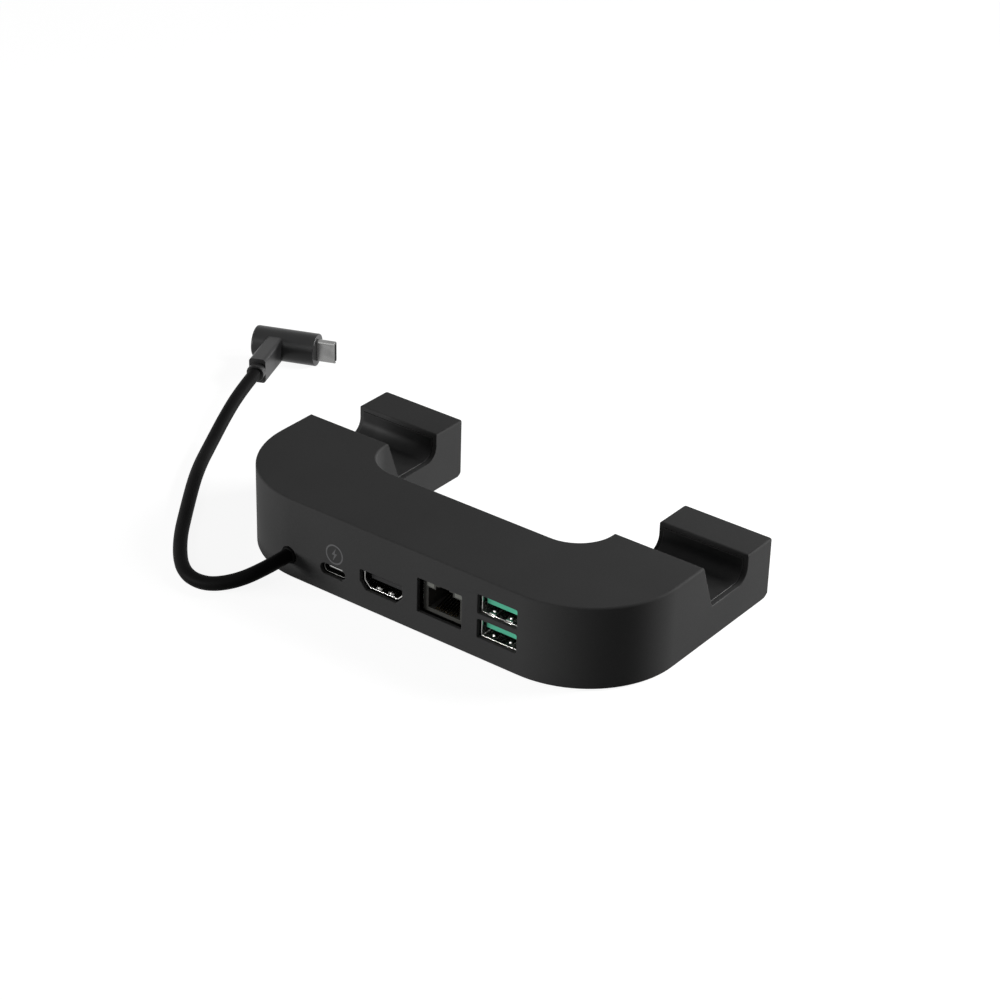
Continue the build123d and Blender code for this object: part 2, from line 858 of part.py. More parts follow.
def plug_body():
    collar = extrude(Plane.XZ * Circle(plug_collar_radius), amount=-plug_collar_length)
    reach = plug_arm_length + plug_head_radius
    arm = Box(plug_arm_thickness, reach, plug_arm_width, align=(Align.CENTER, Align.MIN, Align.CENTER))
    arm = fillet(arm.edges().filter_by(Axis.Y), plug_arm_edge)
    arm = Pos(0, plug_collar_length, 0) * arm
    head = extrude(Plane.YZ * Circle(plug_head_radius), amount=plug_head_length)
    head = fillet(head.edges().group_by(Axis.X)[0], plug_head_edge)
    head = Pos(-plug_head_top, plug_collar_length + reach, 0) * head
    return plug_place() * (collar + arm + head)


def tip_frame(part):
    y = plug_collar_length + plug_arm_length + plug_head_radius
    return plug_place() * Pos(plug_head_length - plug_head_top, y, 0) * part


def tip_outline(inset):
    return Plane.YZ * Rot(0, 0, 90) * SlotOverall(plug_tip_width - 2 * inset, plug_tip_thickness - 2 * inset)


def plug_shell():
    shell = extrude(tip_outline(0), amount=plug_tip_length)
    return tip_frame(shell - extrude(tip_outline(plug_tip_rim), amount=plug_tip_length))


def plug_insert():
    length = plug_tip_length - plug_insert_setback
    core = extrude(tip_outline(plug_tip_rim), amount=length)
    inset = plug_tip_rim + plug_insert_wall
    slot = Pos(plug_insert_floor, 0, 0) * extrude(tip_outline(inset), amount=plug_tip_length)
    return tip_frame(core - slot)


def parts():
    made = {
        "upper_housing": upper_housing(),
        "base_plate": base_plate(),
        "base_screws": base_screws(),
        "cradle_pad_left": cradle_pad(-1),
        "cradle_pad_right": cradle_pad(1),
        "circuit_board": circuit_board(),
        "board_screws": board_screws(),
        "usb_c_shell": usb_c_shell(),
        "usb_c_insulator": usb_c_insulator(),
        "usb_c_tongue": usb_c_tongue(),
        "hdmi_shell": hdmi_shell(),
        "hdmi_insulator": hdmi_insulator(),
        "hdmi_contacts": hdmi_contacts(),
        "ethernet_jack": ethernet_jack(),
        "ethernet_shield": ethernet_shield(),
        "ethernet_contacts": ethernet_contacts(),
        "ethernet_lights": group([ethernet_light(side) for side in (-1, 1)]),
        "usb_a_shell": usb_a_shell(),
        "usb_a_divider": usb_a_divider(),
        "usb_a_insulator": usb_a_insulator(),
        "usb_a_contacts": usb_a_contacts(),
        "hub_controller": on_board(hub_controller_size, hub_controller_place),
        "video_converter": on_board(video_converter_size, video_converter_place),
        "network_controller": on_board(network_controller_size, network_controller_place),
        "power_controller": on_board(power_controller_size, power_controller_place),
        "network_transformer": on_board(network_transformer_size, network_transformer_place),
        "power_inductors": group([on_board(inductor_size, place) for place in inductor_places]),
        "smoothing_capacitors": smoothing_capacitors(),
        "crystals": group([on_board(crystal_size, place) for place in crystal_places]),
        "cord_strain_relief": cord_strain_relief(),
        "inner_lead": inner_lead(),
        "cord_header": cord_header(),
        "cord": cord(),
        "plug_body": plug_body(),
        "plug_shell": plug_shell(),
        "plug_insert": plug_insert(),
    }
    rows = {"front": foot_places[0], "rear": foot_places[1]}
    for row, (x, y) in rows.items():
        made[f"foot_{row}_left"] = foot(-x, y)
        made[f"foot_{row}_right"] = foot(x, y)
    return made


os.makedirs("parts", exist_ok=True)
for name, shape in parts().items():
    export_step(shape, f"parts/{name}.step")
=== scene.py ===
import json
import math
import bpy
import bmesh
from mathutils import Matrix, Vector


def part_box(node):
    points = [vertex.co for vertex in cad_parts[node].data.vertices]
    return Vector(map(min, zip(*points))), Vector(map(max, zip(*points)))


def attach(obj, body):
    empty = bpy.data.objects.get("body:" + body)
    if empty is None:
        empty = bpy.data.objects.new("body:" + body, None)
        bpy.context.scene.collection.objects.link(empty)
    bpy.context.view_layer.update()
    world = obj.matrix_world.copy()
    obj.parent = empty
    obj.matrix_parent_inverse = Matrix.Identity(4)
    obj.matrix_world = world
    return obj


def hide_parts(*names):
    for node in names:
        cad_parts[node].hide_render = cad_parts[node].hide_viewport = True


# Handheld console dock, dressed for its studio picture
# Metres, the ports face -Y, the floor is z = 0

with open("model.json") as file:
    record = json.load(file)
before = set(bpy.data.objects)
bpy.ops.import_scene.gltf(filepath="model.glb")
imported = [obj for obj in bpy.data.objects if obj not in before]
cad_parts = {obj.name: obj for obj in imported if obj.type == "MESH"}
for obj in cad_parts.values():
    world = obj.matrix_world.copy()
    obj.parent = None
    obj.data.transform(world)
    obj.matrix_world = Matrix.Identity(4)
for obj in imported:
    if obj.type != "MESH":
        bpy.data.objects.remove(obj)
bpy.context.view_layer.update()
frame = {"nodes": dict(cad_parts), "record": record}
nodes = frame["nodes"]
scene = bpy.context.scene
print("frame loaded:", len(nodes), "nodes")

# Camera

cameraLook = {
    "place": (0.42735, -0.57181, 0.42656),
    "azimuth": 36.53,    # degrees round from the ports
    "elevation": 29.37,
    "roll": 1.64,
    "lens": 97.37,       # millimetres, as the sensor
    "sensor": 36,
    "nearest": 0.02,
    "farthest": 20,
}


def placeCamera():
    azimuth = math.radians(cameraLook["azimuth"])
    elevation = math.radians(cameraLook["elevation"])
    roll = math.radians(cameraLook["roll"])
    back = Vector((math.sin(azimuth) * math.cos(elevation),
                   -math.cos(azimuth) * math.cos(elevation),
                   math.sin(elevation)))
    right = Vector((math.cos(azimuth), math.sin(azimuth), 0))
    up = back.cross(right)
    cameraX = math.cos(roll) * right + math.sin(roll) * up
    cameraY = math.cos(roll) * up - math.sin(roll) * right
    data = bpy.data.cameras.new("studioCamera")
    data.lens = cameraLook["lens"]
    data.sensor_width = cameraLook["sensor"]
    data.clip_start = cameraLook["nearest"]
    data.clip_end = cameraLook["farthest"]
    camera = bpy.data.objects.new("studioCamera", data)
    turn = Matrix((cameraX, cameraY, back)).transposed().to_4x4()
    camera.matrix_world = Matrix.Translation(cameraLook["place"]) @ turn
    scene.collection.objects.link(camera)
    scene.camera = camera


placeCamera()
print("camera placed")


# Finishes: every material is built from nodes on Object coordinates

class Amount:    # a number that changes over a surface
    def __init__(self, tree, socket):
        self.tree = tree
        self.socket = socket

    def worked(self, operation, *values):
        sockets = dict(enumerate(values))
        node = self.tree.add("ShaderNodeMath", {"operation": operation}, sockets)
        return Amount(self.tree, node.outputs[0])

    def __add__(self, other):
        return self.worked("ADD", self, other)

    def __radd__(self, other):
        return self.worked("ADD", other, self)

    def __sub__(self, other):
        return self.worked("SUBTRACT", self, other)

    def __rsub__(self, other):
        return self.worked("SUBTRACT", other, self)

    def __mul__(self, other):
        return self.worked("MULTIPLY", self, other)

    def __rmul__(self, other):
        return self.worked("MULTIPLY", other, self)

    def clipped(self, low, high):
        # 0 up to low, 1 from high
        span = {"Value": self, "From Min": low, "From Max": high}
        node = self.tree.add("ShaderNodeMapRange", {"clamp": True}, span)
        return Amount(self.tree, node.outputs[0])


class Tree:    # a node tree, and the one way nodes are put in it
    def __init__(self, tree):
        self.tree = tree
        self.tree.nodes.clear()

    def add(self, kind, settings=None, sockets=None):
        node = self.tree.nodes.new(kind)
        for key, value in (settings or {}).items():
            setattr(node, key, value)
        for key, value in (sockets or {}).items():
            if isinstance(value, Amount):
                value = value.socket
            if isinstance(value, bpy.types.NodeSocket):
                self.tree.links.new(value, node.inputs[key])
            else:
                node.inputs[key].default_value = value
        return node


class Finish(Tree):    # a material
    def __init__(self, name):
        self.material = bpy.data.materials.new(name)
        self.material.use_nodes = True
        super().__init__(self.material.node_tree)
        self.place = self.add("ShaderNodeTexCoord").outputs["Object"]

    def past(self, axis, start, reach):
        # 0 before start and 1 when reach beyond it, along X, Y or Z
        ways = self.add("ShaderNodeSeparateXYZ", {}, {0: self.place})
        return Amount(self, ways.outputs[axis]).clipped(start, start + reach)

    def grain(self, size, detail=2.0, place=None):
        # cloudy value about 0.5, with grains of that size in metres
        sockets = {"Vector": place or self.place, "Scale": 1 / size, "Detail": detail}
        return Amount(self, self.add("ShaderNodeTexNoise", {}, sockets).outputs[0])

    def stretched(self, scale):
        # a pattern on this place grows longer along an axis of small scale
        node = self.add("ShaderNodeMapping", {}, {"Vector": self.place, "Scale": scale})
        return node.outputs[0]

    def blended(self, share, first, second):
        sockets = {0: share, 6: first, 7: second}
        return self.add("ShaderNodeMix", {"data_type": "RGBA"}, sockets).outputs[2]

    def bumped(self, height, distance, strength):
        sockets = {"Height": height, "Distance": distance, "Strength": strength}
        return self.add("ShaderNodeBump", {}, sockets).outputs[0]

    def finished(self, sockets):
        shader = self.add("ShaderNodeBsdfPrincipled", {}, sockets)
        self.add("ShaderNodeOutputMaterial", {}, {"Surface": shader.outputs[0]})
        return self.material


def grey(level):
    return (level, level, level, 1)


def shaded(colour, share):
    return tuple(part * share for part in colour) + (1,)


# In the dictionaries of the finishes, a spread is how far the roughness wanders in all, a range is
# the part of a grain that a blend uses, and a depth is in metres unless its line says otherwise

housingLook = {
    "dark": 0.035,       # albedo in the low spots of the grain
    "light": 0.045,
    "grainSize": 0.00032,
    "grainDetail": 3.0,
    "grainSpread": 0.08,
    "cloudSize": 0.035,
    "cloudSpread": 0.05,
    "colourRange": (0.3, 0.7),
    "roughness": 0.6,
    "gloss": 0.02,
    "bumpDepth": 0.00002,
    "bumpStrength": 0.5,
}


def housingPlastic():
    look = housingLook
    finish = Finish("mouldedHousing")
    texture = finish.grain(look["grainSize"], look["grainDetail"])
    clouds = finish.grain(look["cloudSize"])
    share = (texture * 0.5 + clouds * 0.5).clipped(*look["colourRange"])
    smoothest = look["roughness"] - (look["grainSpread"] + look["cloudSpread"]) / 2
    return finish.finished({
        "Base Color": finish.blended(share, grey(look["dark"]), grey(look["light"])),
        "Roughness": texture * look["grainSpread"] + clouds * look["cloudSpread"] + smoothest,
        "Specular IOR Level": look["gloss"],
        "Normal": finish.bumped(texture, look["bumpDepth"], look["bumpStrength"]),
    })


rubberLook = {
    "dustSize": 0.006,
    "dustDetail": 3.0,
    "dustRange": (0.35, 0.7),
    "darker": 0.85,
    "lighter": 1.2,
    "spread": 0.1,
    "bumpDepth": 0.1,    # as a share of the grain
    "bumpStrength": 0.6,
}


def softRubber(name, level, grainSize, roughness, gloss=0.04):
    look = rubberLook
    finish = Finish(name)
    texture = finish.grain(grainSize)
    dust = finish.grain(look["dustSize"], look["dustDetail"]).clipped(*look["dustRange"])
    darker, lighter = grey(level * look["darker"]), grey(level * look["lighter"])
    return finish.finished({
        "Base Color": finish.blended(dust, darker, lighter),
        "Roughness": texture * look["spread"] + (roughness - look["spread"] / 2),
        "Specular IOR Level": gloss,
        "Normal": finish.bumped(texture, grainSize * look["bumpDepth"], look["bumpStrength"]),
    })


plasticLook = {
    "flowSize": 0.008,    # marks that the melt leaves in the mould
    "flowRange": (0.3, 0.7),
    "darker": 0.86,
    "lighter": 1.08,
    "spread": 0.08,
    "bumpDepth": 0.06,    # as a share of the grain
    "bumpStrength": 0.4,
}


def satinPlastic(name, colour, roughness, grainSize=0.0004, gloss=0.5):
    look = plasticLook
    finish = Finish(name)
    texture = finish.grain(grainSize)
    flow = finish.grain(look["flowSize"]).clipped(*look["flowRange"])
    darker, lighter = shaded(colour, look["darker"]), shaded(colour, look["lighter"])
    return finish.finished({
        "Base Color": finish.blended(flow, darker, lighter),
        "Roughness": texture * look["spread"] + (roughness - look["spread"] / 2),
        "Specular IOR Level": gloss,
        "Normal": finish.bumped(texture, grainSize * look["bumpDepth"], look["bumpStrength"]),
    })


tongueLook = {
    "flowSize": 0.004,
    "spread": 0.1,
    "smoothest": 0.38,
    "gloss": 0.3,
}
dataTongueLook = {
    "bright": (0.062, 0.37, 0.235, 1),
    # dim: painted shade, the teal darkened inside the port behind the nose
    "dim": (0.006, 0.03, 0.02, 1),
    "nose": -0.03935,    # along Y, where the bright end stops
    "lowest": 0.0,       # along Z, where it starts
    "paintedShadeFade": 0.0003,
}
chargingTongueLook = {
    # bright: a painted highlight, a light grey strip on the nose above the lowest height; dim:
    # painted shade over the rest of the tongue
    "bright": (0.5, 0.5, 0.485, 1),
    "dim": (0.006, 0.006, 0.006, 1),
    "nose": -0.03998,
    "lowest": 0.0085,
    "paintedShadeFade": 0.0001,
}


def tongueMoulding(name, look):
    # bright at the tongue's nose, with painted shade inside the port and under the lowest height
    finish = Finish(name)
    flow = finish.grain(tongueLook["flowSize"])
    inside = finish.past("Y", look["nose"], look["paintedShadeFade"])
    above = finish.past("Z", look["lowest"], look["paintedShadeFade"])
    shade = (inside + 1 - above).clipped(0, 1)
    return finish.finished({
        "Base Color": finish.blended(shade, look["bright"], look["dim"]),
        "Roughness": flow * tongueLook["spread"] + tongueLook["smoothest"],
        "Specular IOR Level": tongueLook["gloss"],
    })


metalLook = {
    "strokeSize": 0.00012,
    "strokeScale": (1, 0.04, 1),    # brushed along Y
    "strokeSpread": 0.12,
    "smearSize": 0.003,
    "smearDetail": 3.0,
    "smearSpread": 0.1,
    "tarnishRange": (0.42, 0.75),
    "tarnish": 0.78,
    "bumpDepth": 0.000004,
    "bumpStrength": 0.5,
}


def platedMetal(name, colour, roughness, paintedShadeFade=None):
    # the last argument gives where along Y the painted shade inside a port starts, how far that
    # takes, and the share of the colour left
    look = metalLook
    finish = Finish(name)
    strokes = finish.grain(look["strokeSize"], place=finish.stretched(look["strokeScale"]))
    smear = finish.grain(look["smearSize"], look["smearDetail"])
    tarnished = smear.clipped(*look["tarnishRange"])
    plating = finish.blended(tarnished, shaded(colour, 1), shaded(colour, look["tarnish"]))
    # painted shade: the colour darkens deeper inside a port
    if paintedShadeFade:
        start, reach, share = paintedShadeFade
        plating = finish.blended(finish.past("Y", start, reach), plating, shaded(colour, share))
    smoothest = roughness - (look["strokeSpread"] + look["smearSpread"]) / 2
    return finish.finished({
        "Base Color": plating,
        "Metallic": 1.0,
        "Roughness": strokes * look["strokeSpread"] + smear * look["smearSpread"] + smoothest,
        "Normal": finish.bumped(strokes, look["bumpDepth"], look["bumpStrength"]),
    })


boardLook = {
    "mask": 0.010,          # over bare board
    "trackMask": 0.006,     # over copper
    "laneScale": 90.0,
    "laneOffset": 0.35,
    "gapWidth": 0.05,
    "weaveSize": 0.0006,
    "weaveDepth": 0.2,      # as a share of a track's
    "spread": 0.1,
    "smoothest": 0.26,
    "gloss": 0.2,
    "bumpDepth": 0.00003,
    "bumpStrength": 0.6,
}


def boardFinish():
    # black solder mask over copper lanes
    look = boardLook
    finish = Finish("solderMaskedBoard")
    lanes = finish.add("ShaderNodeTexBrick", {"offset": look["laneOffset"]}, {
        "Vector": finish.place,
        "Color1": grey(1.0),
        "Color2": grey(1.0),
        "Mortar": grey(0.0),
        "Scale": look["laneScale"],
        "Mortar Size": look["gapWidth"],
    })
    track = 1 - Amount(finish, lanes.outputs[1])
    weave = finish.grain(look["weaveSize"])
    relief = weave * look["weaveDepth"] - track
    return finish.finished({
        "Base Color": finish.blended(track, grey(look["mask"]), grey(look["trackMask"])),
        "Roughness": weave * look["spread"] + look["smoothest"],
        "Specular IOR Level": look["gloss"],
        "Normal": finish.bumped(relief, look["bumpDepth"], look["bumpStrength"]),
    })


canLook = {
    "dark": (0.5, 0.5, 0.51, 1),
    "light": (0.62, 0.62, 0.63, 1),
    "cloudSize": 0.002,
    "strokeSize": 0.0002,
    "strokeDetail": 1.0,
    "strokeScale": (1, 1, 0.05),    # brushed along Z
    "spread": 0.15,
    "smoothest": 0.25,
    "metallic": 0.9,
}


def canFinish():
    look = canLook
    finish = Finish("sleevedCan")
    clouds = finish.grain(look["cloudSize"])
    place = finish.stretched(look["strokeScale"])
    strokes = finish.grain(look["strokeSize"], look["strokeDetail"], place)
    return finish.finished({
        "Base Color": finish.blended(clouds, look["dark"], look["light"]),
        "Metallic": look["metallic"],
        "Roughness": strokes * look["spread"] + look["smoothest"],
    })


clearLook = {
    "dark": (0.065, 0.068, 0.056, 1),
    "light": (0.10, 0.104, 0.088, 1),
    "hazeSize": 0.0008,
    "spread": 0.1,
    "smoothest": 0.12,
    "coat": 0.3,
    "gloss": 0.5,
}


def clearFinish():
    look = clearLook
    finish = Finish("lightPipe")
    haze = finish.grain(look["hazeSize"])
    return finish.finished({
        "Base Color": finish.blended(haze, look["dark"], look["light"]),
        "Roughness": haze * look["spread"] + look["smoothest"],
        "Coat Weight": look["coat"],
        "Specular IOR Level": look["gloss"],
    })


nickel = (0.82, 0.81, 0.79)
finishes = {
    "housing_plastic": housingPlastic(),
    "soft_rubber": softRubber("cradleLiner", level=0.018, grainSize=0.0004, roughness=0.5,
                              gloss=0.08),
    "foot_rubber": softRubber("footRubber", level=0.018, grainSize=0.0005, roughness=0.7),
    "cord_jacket": softRubber("cordJacket", level=0.0056, grainSize=0.0003, roughness=0.5,
                              gloss=0.015),
    "plug_plastic": satinPlastic("plugMoulding", (0.0185, 0.0185, 0.0189), roughness=0.34,
                                 gloss=0.22),
    "board": boardFinish(),
    "steel": platedMetal("nickelPlate", nickel, roughness=0.22),
    "screw_steel": platedMetal("blackScrew", (0.12, 0.12, 0.125), roughness=0.38),
    # the gold contacts darken to painted shade inside the ports
    "contacts": platedMetal("goldFlash", (0.83, 0.6, 0.26), roughness=0.22,
                            paintedShadeFade=(-0.0388, 0.0008, 0.12)),
    "teal_plastic": tongueMoulding("tealTongue", dataTongueLook),
    "black_plastic": satinPlastic("blackInsulator", (0.016, 0.016, 0.0165), roughness=0.42,
                                  gloss=0.15),
    "clear_plastic": clearFinish(),
    "chip": satinPlastic("chipEpoxy", (0.018, 0.018, 0.019), roughness=0.55, grainSize=0.00015),
    "ferrite": satinPlastic("ferriteBlock", (0.09, 0.09, 0.095), roughness=0.6, grainSize=0.0003),
    "can": canFinish(),
    "crystal_case": platedMetal("crystalCan", (0.7, 0.7, 0.71), roughness=0.3),
    "header_plastic": satinPlastic("nylonHeader", (0.72, 0.69, 0.6), roughness=0.45),
}
# finishes of single pieces, which differ from their slot's
jackMoulding = satinPlastic("jackMoulding", (0.048, 0.048, 0.044), roughness=0.5, gloss=0.1)
# charging tongue: a painted highlight along the upper nose, painted shade elsewhere
chargingTongue = tongueMoulding("chargingTongue", chargingTongueLook)
# the HDMI shell's nickel darkens to painted shade inside the port
portNickel = platedMetal("portNickel", nickel, roughness=0.22, paintedShadeFade=(-0.0403, 0.0002, 0.3))
dullNickel = platedMetal("dullNickel", (0.14, 0.14, 0.135), roughness=0.32)
tipNickel = platedMetal("tipNickel", (0.25, 0.25, 0.247), roughness=0.28)
dullGold = platedMetal("dullGold", (0.07, 0.052, 0.024), roughness=0.35)
signPrint = satinPlastic("signPrint", (0.09, 0.09, 0.092), roughness=0.6, gloss=0.1)
nodeSlots = {row["node"]: row["material_slot"] for row in frame["record"]["subparts"]}
for nodeName, node in nodes.items():
    node.data.materials.clear()
    node.data.materials.append(finishes[nodeSlots[nodeName]])
print("finishes made:", len(finishes))


# Pieces

def link(name, data, slotName, *replaced, finish=None):
    # a mesh or curve put in the scene with its finish, under the root body
    piece = bpy.data.objects.new(name, data)
    scene.collection.objects.link(piece)
    data.materials.clear()
    data.materials.append(finish or finishes[slotName])
    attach(piece, "root")
    if replaced:
        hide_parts(*replaced)
    return piece


# Cord: leaves the port face level, comes down to the floor and turns back past the left arm

cordLook = {
    "diameter": 0.0045,
    "route": [
        (-0.0444, -0.0426, 0.0077),
        (-0.0444, -0.0524, 0.0077),
        (-0.0492, -0.0608, 0.0051),
        (-0.0583, -0.0648, 0.00235),
        (-0.0686, -0.0634, 0.00235),
        (-0.0816, -0.0509, 0.00235),
        (-0.0946, -0.0334, 0.00235),
        (-0.1086, -0.0138, 0.00235),
        (-0.1188, 0.0048, 0.00235),
        (-0.1250, 0.0182, 0.0044),
        (-0.1308, 0.0317, 0.00585),
        (-0.1362, 0.0452, 0.00585),
    ],
    "length": 0.1685,
    "order": 3,
    "steps": 16,        # between two points of the route
    "roundness": 8,
}


def makeCord():
    look = cordLook
    curve = bpy.data.curves.new("captive_cord", "CURVE")
    curve.dimensions = "3D"
    spline = curve.splines.new("NURBS")
    spline.points.add(len(look["route"]) - 1)
    for point, place in zip(spline.points, look["route"]):
        point.co = (*place, 1)
    spline.order_u = look["order"]
    spline.use_endpoint_u = True
    spline.resolution_u = look["steps"]
    curve.resolution_u = look["steps"]
    curve.bevel_depth = look["diameter"] / 2
    curve.bevel_resolution = look["roundness"]
    curve.use_fill_caps = True
    return link("captive_cord", curve, "cord_jacket", "cord")


cordPiece = makeCord()
print("cord laid")


# Skins: welded copies of CAD nodes, with smooth rounds and softened edges

skinLook = {
    "weldWithin": 0.000002,
    "flatWithin": 0.3,       # degrees between faces that become one
    "sharpFrom": 28,         # degrees between faces that keep an edge
    "segments": 2,
    "closeness": 0.00005,    # how near to a plane an edge counts as in it
    "collar": 0.0025,        # from the cord's end to the end of the plug's arm
}
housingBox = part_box("upper_housing")


def everyEdge(edge):
    return True


def onOutside(edge):
    # edges on the housing's outer walls: the channel ends, the port mouths and the lower rim
    low, high = housingBox
    first, second = (vertex.co for vertex in edge.verts)
    for axis, value in ((0, low.x), (0, high.x), (1, low.y), (1, high.y), (2, low.z)):
        if max(abs(first[axis] - value), abs(second[axis] - value)) < skinLook["closeness"]:
            return True
    return False


def onPlug(edge):
    # outward edges, apart from those round the arm's end, which the collar crosses
    before, end = (Vector(place) for place in cordLook["route"][-2:])
    run = (end - before).normalized()
    gaps = [abs((vertex.co - end).dot(run) - skinLook["collar"]) for vertex in edge.verts]
    return edge.is_convex and max(gaps) > skinLook["closeness"]


def refined(nodeName, edgeRule, edgeSize, finish=None):
    # the sharp edges that the rule picks are softened to that size
    mesh = nodes[nodeName].data.copy()
    mesh.name = nodeName + "_skin"
    work = bmesh.new()
    work.from_mesh(mesh)
    bmesh.ops.remove_doubles(work, verts=work.verts, dist=skinLook["weldWithin"])
    bmesh.ops.dissolve_limit(work, angle_limit=math.radians(skinLook["flatWithin"]),
                             verts=work.verts, edges=work.edges, use_dissolve_boundaries=False)
    for face in work.faces:
        face.smooth = True
    weights = work.edges.layers.float.new("bevel_weight_edge")
    for edge in work.edges:
        if len(edge.link_faces) != 2:
            continue
        edge.smooth = edge.calc_face_angle(0.0) < math.radians(skinLook["sharpFrom"])
        if not edge.smooth and edgeRule(edge):
            edge[weights] = 1.0
    work.to_mesh(mesh)
    work.free()
    piece = link(nodeName + "_skin", mesh, nodeSlots[nodeName], nodeName, finish=finish)
    soft = piece.modifiers.new("softEdges", "BEVEL")
    soft.width = edgeSize
    soft.segments = skinLook["segments"]
    soft.limit_method = "WEIGHT"
    soft.use_clamp_overlap = False
    soft.harden_normals = False
    even = piece.modifiers.new("evenShading", "WEIGHTED_NORMAL")
    even.keep_sharp = True
    return piece


skinRows = {    # the rule, the size of the softened edges, and a finish if it isn't the slot's
    "upper_housing": (onOutside, 0.00025),
    "cradle_pad_left": (everyEdge, 0.00018),
    "cradle_pad_right": (everyEdge, 0.00018),
    "cord_strain_relief": (everyEdge, 0.0002),
    "plug_body": (onPlug, 0.0002),
    "plug_shell": (everyEdge, 0.00008, tipNickel),
    "ethernet_jack": (everyEdge, 0.0001, jackMoulding),
    "hdmi_shell": (everyEdge, 0.00006, portNickel),
    "usb_a_shell": (everyEdge, 0.00006),
    "usb_a_divider": (everyEdge, 0.00006),
    "usb_a_insulator": (everyEdge, 0.00012),
    "usb_c_shell": (everyEdge, 0.00006, dullNickel),
    "usb_c_tongue": (everyEdge, 0.00012, chargingTongue),
}
skins = {nodeName: refined(nodeName, *row) for nodeName, row in skinRows.items()}
print("skins made:", len(skins))


# Power sign over the charging port: a bolt in a ring, printed

signLook = {
    "middle": (-0.0261, 0.0147),    # across and up the port face
    "radius": 0.0031,
    "line": 0.0005,
    "ink": 0.00002,
    "sides": 72,
    "bolt": [(0.00055, 0.00225), (-0.00105, -0.0002), (-0.0001, -0.0002),
             (-0.00055, -0.00225), (0.00105, 0.00035), (0.0001, 0.00035)],
}


def printedSign():
    look = signLook
    faceY = housingBox[0].y
    work = bmesh.new()

    def corners(outline, y):
        middleX, middleZ = look["middle"]
        return [work.verts.new((middleX + x, y, middleZ + z)) for x, z in outline]

    def circle(radius):
        turns = [math.tau * number / look["sides"] for number in range(look["sides"])]
        return [(radius * math.cos(turn), radius * math.sin(turn)) for turn in turns]

    def band(front, back):
        # the wall between two like rows of corners
        for number in range(len(front)):
            after = (number + 1) % len(front)
            work.faces.new((front[number], front[after], back[after], back[number]))

    rows = {}
    for side, radius in (("outer", look["radius"] + look["line"] / 2),
                         ("inner", look["radius"] - look["line"] / 2)):
        for layer, y in (("front", faceY - look["ink"]), ("back", faceY)):
            rows[side, layer] = corners(circle(radius), y)
    band(rows["outer", "front"], rows["outer", "back"])
    band(rows["outer", "back"], rows["inner", "back"])
    band(rows["inner", "back"], rows["inner", "front"])
    band(rows["inner", "front"], rows["outer", "front"])
    front = corners(look["bolt"], faceY - look["ink"])
    back = corners(look["bolt"], faceY)
    boltFaces = [work.faces.new(front), work.faces.new(back[::-1])]
    band(front, back)
    bmesh.ops.recalc_face_normals(work, faces=work.faces)
    bmesh.ops.triangulate(work, faces=boltFaces)
    mesh = bpy.data.meshes.new("power_sign")
    work.to_mesh(mesh)
    work.free()
    link("power_sign", mesh, "housing_plastic", finish=signPrint)


printedSign()
print("sign printed")


# Leads and pads: Geometry Nodes lay two rows of blocks, and each set is placed in its mesh

class TwoRows(Tree):
    sizes = {
        "Count": "NodeSocketInt",
        "Pitch": "NodeSocketFloat",
        "Row Gap": "NodeSocketFloat",
        "Width": "NodeSocketFloat",
        "Length": "NodeSocketFloat",
        "Height": "NodeSocketFloat",
        "Finish": "NodeSocketMaterial",
    }

    def __init__(self):
        super().__init__(bpy.data.node_groups.new("twoRowsOfBlocks", "GeometryNodeTree"))
        self.inputs = {}
        for name, kind in self.sizes.items():
            socket = self.tree.interface.new_socket(name, in_out="INPUT", socket_type=kind)
            self.inputs[name] = socket.identifier
        self.tree.interface.new_socket("Geometry", in_out="OUTPUT",
                                       socket_type="NodeSocketGeometry")
        given = self.add("NodeGroupInput").outputs
        count = Amount(self, given["Count"])
        reach = (count - 1) * Amount(self, given["Pitch"])
        grid = self.add("GeometryNodeMeshGrid", {}, {
            "Size X": reach, "Size Y": given["Row Gap"], "Vertices X": count, "Vertices Y": 2})
        size = self.add("ShaderNodeCombineXYZ", {}, {
            "X": given["Width"], "Y": given["Length"], "Z": given["Height"]})
        block = self.add("GeometryNodeMeshCube", {}, {"Size": size.outputs[0]})
        placed = self.add("GeometryNodeInstanceOnPoints", {}, {
            "Points": grid.outputs[0], "Instance": block.outputs[0]})
        real = self.add("GeometryNodeRealizeInstances", {}, {0: placed.outputs[0]})
        dressed = self.add("GeometryNodeSetMaterial", {}, {
            "Geometry": real.outputs[0], "Material": given["Finish"]})
        self.add("NodeGroupOutput", {}, {0: dressed.outputs[0]})


twoRows = TwoRows()


def rowsPiece(name, slotName, values, *places, finish=None):
    # one set of rows at every place, joined in a plain mesh
    piece = bpy.data.objects.new(name, bpy.data.meshes.new(name))
    scene.collection.objects.link(piece)
    modifier = piece.modifiers.new("rows", "NODES")
    modifier.node_group = twoRows.tree
    for key, value in {**values, "Finish": finish or finishes[slotName]}.items():
        modifier[twoRows.inputs[key]] = value
    evaluated = piece.evaluated_get(bpy.context.evaluated_depsgraph_get())
    rows = bpy.data.meshes.new_from_object(evaluated)
    bpy.data.objects.remove(piece)
    work = bmesh.new()
    for place in places:
        copied = rows.copy()
        copied.transform(place)
        work.from_mesh(copied)
        bpy.data.meshes.remove(copied)
    mesh = bpy.data.meshes.new(name)
    work.to_mesh(mesh)
    work.free()
    link(name, mesh, slotName, finish=finish)


padLook = {
    "count": 12,
    "pitch": 0.0005,
    "width": 0.00026,
    "length": 0.0026,
    "setback": 0.0004,    # from the tongue's nose
    "proud": 0.00002,
}


